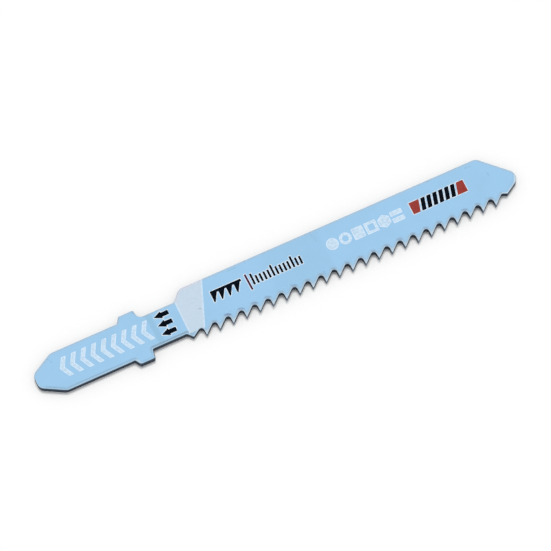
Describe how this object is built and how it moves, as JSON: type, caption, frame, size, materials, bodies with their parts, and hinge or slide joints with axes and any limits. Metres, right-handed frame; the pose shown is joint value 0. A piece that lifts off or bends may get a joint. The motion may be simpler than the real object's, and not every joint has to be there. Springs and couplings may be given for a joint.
{
  "type": "jigsaw blade",
  "caption": "Flat steel jigsaw blade with a lugged tang, a narrow neck, a row of milled wavy set teeth and a bevelled nose, coated light blue.",
  "frame": {"origin": "on the tang's centre line, in the under face, level with the load flanks of the two lugs", "axes": "+X from the tang to the nose, +Y towards the smooth back, +Z out of the printed face; the teeth point to -Y"},
  "size_m": [0.075, 0.0081, 0.0012],
  "materials": {
    "blue_lacquer": "satin light blue lacquer over steel, thin and dark on the punched and milled walls, rubbed pale along the edges",
    "pale_field": "pale printed field",
    "white_ink": "matt white ink",
    "black_ink": "matt black ink",
    "red_ink": "matt red ink"
  },
  "bodies": {
    "root": {"blade": "blue_lacquer"}
  },
  "joints": []
}
